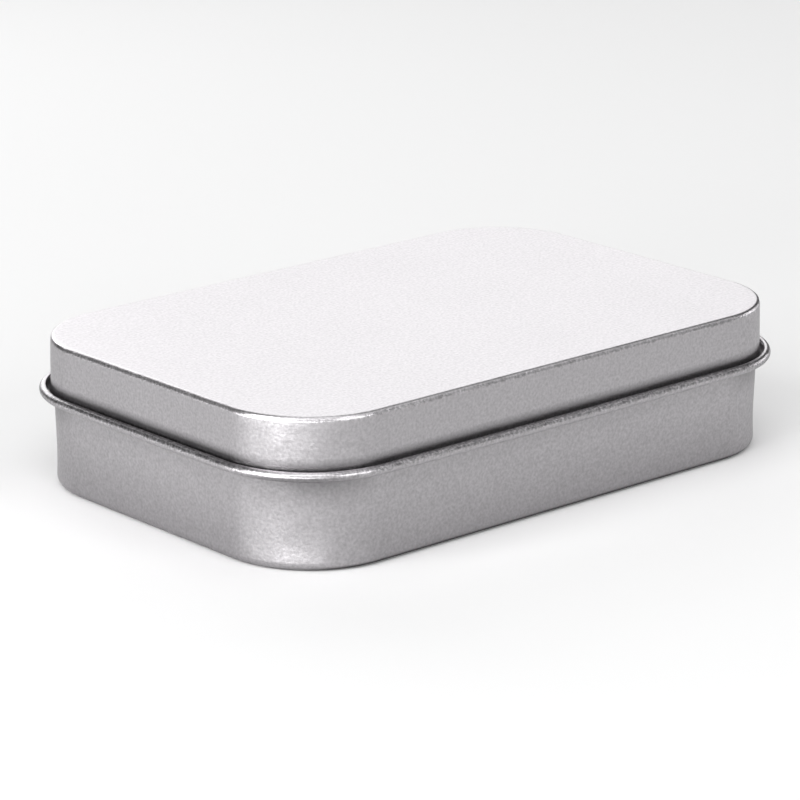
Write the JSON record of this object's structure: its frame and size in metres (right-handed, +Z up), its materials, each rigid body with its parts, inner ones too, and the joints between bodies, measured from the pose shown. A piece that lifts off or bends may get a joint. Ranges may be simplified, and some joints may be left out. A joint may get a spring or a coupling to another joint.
{
  "type": "tin box",
  "caption": "Flat rectangular pocket tin with rounded corners, shut: a pressed lid with an outward curled rim over a plain base.",
  "frame": {"origin": "middle of the flat underside", "axes": "+X along the long side, +Y across the box, +Z up through the lid"},
  "size_m": [0.096, 0.0648, 0.0212],
  "materials": {
    "tinplate": "satin bare tinplate with a fine frosted grain"
  },
  "bodies": {
    "root": {"lid": "tinplate", "base": "tinplate"}
  },
  "joints": []
}
